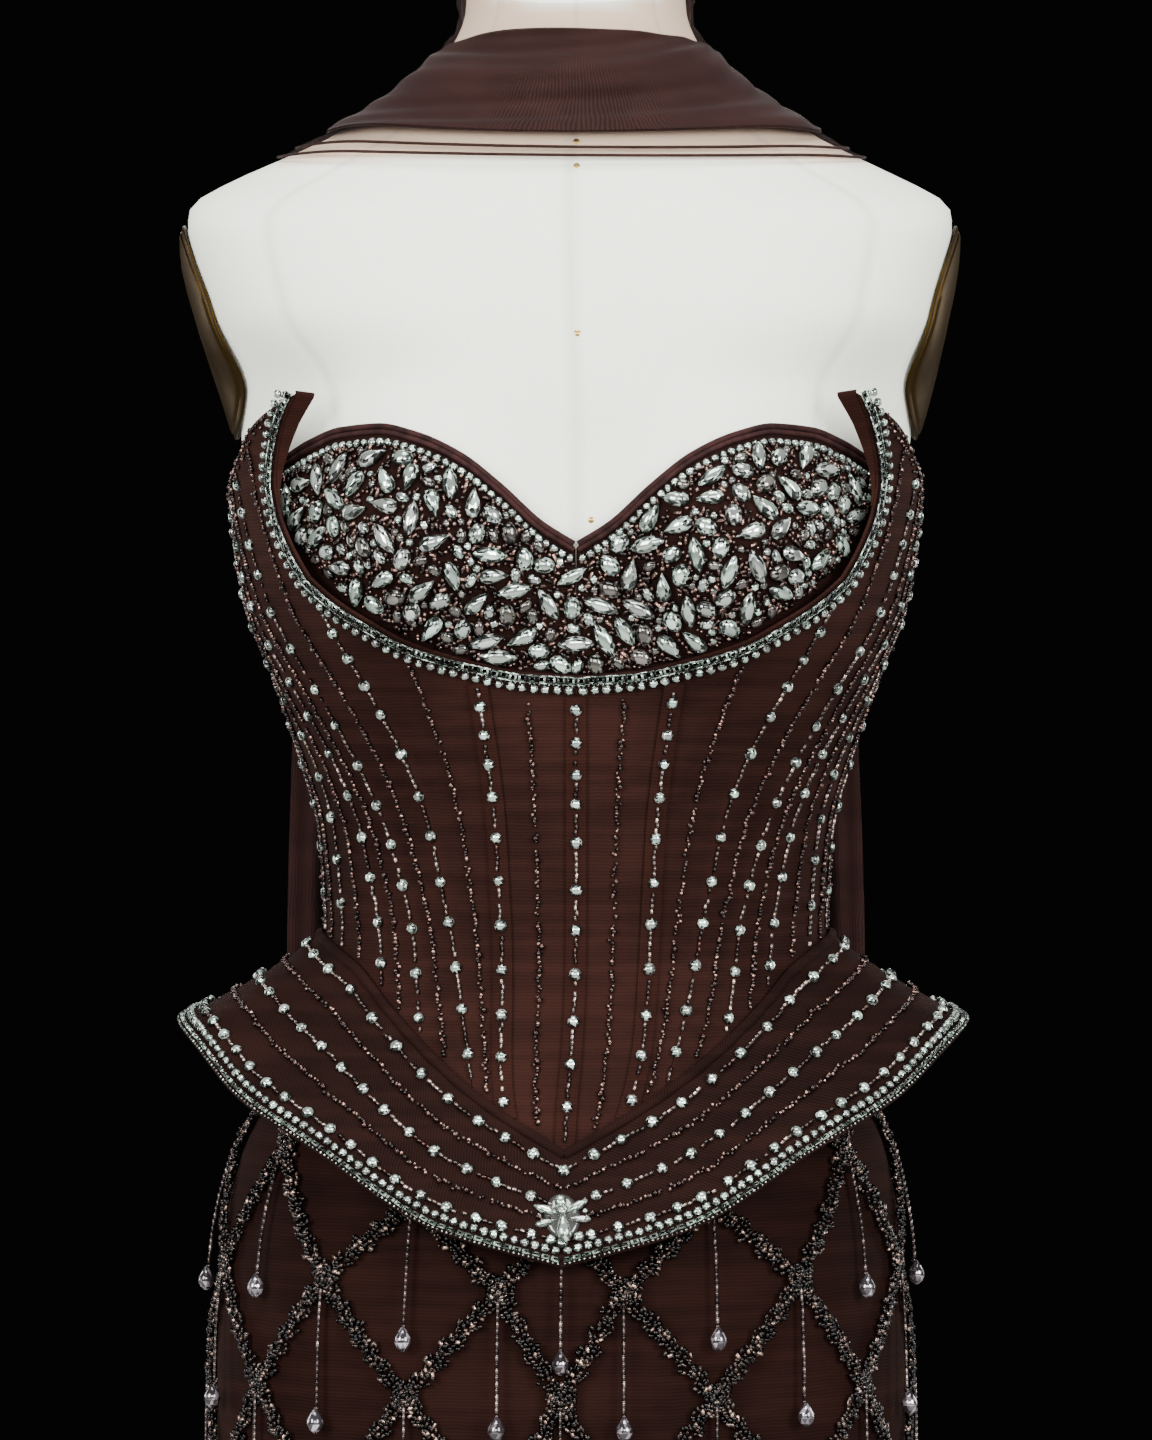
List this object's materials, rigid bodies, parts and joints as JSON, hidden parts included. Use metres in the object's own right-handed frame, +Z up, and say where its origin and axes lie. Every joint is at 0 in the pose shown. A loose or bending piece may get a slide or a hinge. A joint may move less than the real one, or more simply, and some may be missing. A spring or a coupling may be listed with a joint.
{
  "type": "strapless beaded mermaid evening gown with its tulle stole, on a limbless dress form",
  "caption": "Strapless mermaid gown: jewelled cups, winged corset, flared peplum, bead net on the skirt and a wavy foot, with a tulle stole, on a limbless dress form.",
  "frame": {"origin": "on the floor under the middle of the stand's round base", "axes": "+Z up, -Y out of the front of the gown, +X towards the viewer's right from the front"},
  "size_m": [0.6618, 0.632, 1.6223],
  "materials": {
    "linen": "white plain-weave linen stretched over the form",
    "arm_plate": "dull ochre brass",
    "stand": "dark satin",
    "tulle": "dark brown tulle over a reddish brown lining",
    "lining": "reddish brown mesh",
    "binding": "burgundy satin binding",
    "crystal": "cut clear stones in dense rows",
    "beads": "dark bronze and black glass seed beads",
    "stole": "sheer brown rose tulle"
  },
  "bodies": {
    "root": {"bead_net_back": "beads", "bead_net_front": "beads", "boning_centre": "lining", "boning_left": "lining", "boning_right": "lining", "brooch": "crystal", "corset_back_left": "tulle", "corset_back_right": "tulle", "corset_front_left": "tulle", "corset_front_right": "tulle", "corset_mid_left": "tulle", "corset_mid_right": "tulle", "corset_side_left": "tulle", "corset_side_right": "tulle", "corset_trim_left": "crystal", "corset_trim_right": "crystal", "cup_binding_left": "binding", "cup_binding_right": "binding", "cup_left": "crystal", "cup_right": "crystal", "flounce_back": "tulle", "flounce_front": "tulle", "form_arm_plate_left": "arm_plate", "form_arm_plate_right": "arm_plate", "form_base": "stand", "form_neck_cap": "stand", "form_pole": "stand", "form_torso": "linen", "peplum_back_left": "tulle", "peplum_back_right": "tulle", "peplum_front_left": "tulle", "peplum_front_right": "tulle", "peplum_trim_left": "crystal", "peplum_trim_right": "crystal", "skirt_back": "tulle", "skirt_front": "tulle", "stole_neck_wrap": "stole", "stole_tail_left": "stole", "stole_tail_right": "stole"}
  },
  "joints": []
}
